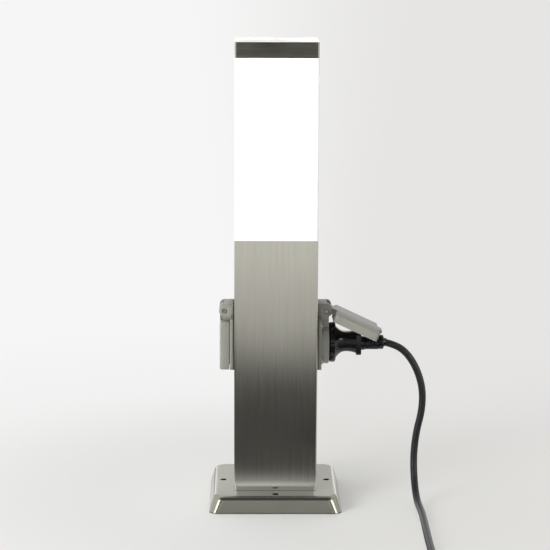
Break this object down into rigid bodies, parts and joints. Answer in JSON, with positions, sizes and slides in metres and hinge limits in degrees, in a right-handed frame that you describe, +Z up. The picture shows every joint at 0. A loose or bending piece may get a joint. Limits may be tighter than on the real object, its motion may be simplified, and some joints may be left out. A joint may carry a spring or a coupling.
{
  "type": "bollard light with socket",
  "caption": "Low square garden bollard: brushed post on a flared screw-down foot, opal light head, spring-shut covered outlets on both sides, one holding a plug and its lead.",
  "frame": {"origin": "on the ground, under the middle of the post: the centre of the four ground screws", "axes": "+Z up the post; the outlets face -X and +X; -Y is the side that faces the camera"},
  "size_m": [0.2165, 0.438, 0.45],
  "materials": {
    "foot_flange": "brushed",
    "anchor_bushes": "zinc plated",
    "cable_grommet": "matte",
    "post_tube": "brushed",
    "terminal_plate": "zinc plated",
    "terminal_block": "matte",
    "lamp_plate": "zinc plated",
    "diffuser_seal": "matte",
    "diffuser": "satin opal",
    "diffuser_screws": "satin",
    "cap_carrier": "matte",
    "top_cap": "brushed",
    "lamp_holder": "glazed",
    "lamp_base": "nickelled",
    "lamp_bulb": "frosted",
    "lamp_lead_inner": "matte",
    "outlet_seal": "matte",
    "outlet_frame": "fine grained",
    "outlet_screws": "satin",
    "outlet_insert": "matte",
    "contact_sleeves": "plain",
    "earth_clips": "plain",
    "hinge_pin": "satin",
    "outlet_lead": "matte",
    "cover": "fine grained",
    "cover_seal": "matte",
    "cover_spring": "satin",
    "plug": "semi-gloss",
    "plug_pins": "nickelled",
    "plug_earth_strips": "nickelled",
    "lead": "satin",
    "coil_tie": "satin",
    "connector": "semi-gloss"
  },
  "bodies": {
    "bollard": {"anchor_bushes": "anchor_bushes", "cable_grommet": "cable_grommet", "cap_carrier": "cap_carrier", "coil_tie": "coil_tie", "connector": "connector", "contact_sleeves_left": "contact_sleeves", "contact_sleeves_right": "contact_sleeves", "diffuser": "diffuser", "diffuser_screws": "diffuser_screws", "diffuser_seal": "diffuser_seal", "earth_clips_left": "earth_clips", "earth_clips_right": "earth_clips", "foot_flange": "foot_flange", "hinge_pin_left": "hinge_pin", "hinge_pin_right": "hinge_pin", "lamp_base": "lamp_base", "lamp_bulb": "lamp_bulb", "lamp_holder": "lamp_holder", "lamp_lead_inner": "lamp_lead_inner", "lamp_plate": "lamp_plate", "lead_coil": "lead", "lead_free": "lead", "outlet_frame_left": "outlet_frame", "outlet_frame_right": "outlet_frame", "outlet_insert_left": "outlet_insert", "outlet_insert_right": "outlet_insert", "outlet_lead_left": "outlet_lead", "outlet_lead_right": "outlet_lead", "outlet_screws_left": "outlet_screws", "outlet_screws_right": "outlet_screws", "outlet_seal_left": "outlet_seal", "outlet_seal_right": "outlet_seal", "plug": "plug", "plug_earth_strips": "plug_earth_strips", "plug_pins": "plug_pins", "post_tube": "post_tube", "terminal_block": "terminal_block", "terminal_plate": "terminal_plate", "top_cap": "top_cap"},
    "left_cover": {"cover_left": "cover", "cover_seal_left": "cover_seal", "cover_spring_left": "cover_spring"},
    "right_cover": {"cover_right": "cover", "cover_seal_right": "cover_seal", "cover_spring_right": "cover_spring"}
  },
  "joints": [
    {"name": "left_cover_hinge", "type": "hinge", "parent": "bollard", "child": "left_cover", "pos_m": [-0.0494, 0, 0.1882], "axis": [0, 1, 0], "range_deg": [0, 110], "stiffness_Nm_per_rad": 0.02, "springref_deg": -28.65},
    {"name": "right_cover_hinge", "type": "hinge", "parent": "bollard", "child": "right_cover", "pos_m": [0.0494, 0, 0.1882], "axis": [0, -1, 0], "range_deg": [0, 45.23], "stiffness_Nm_per_rad": 0.02, "springref_deg": -93.41}
  ]
}
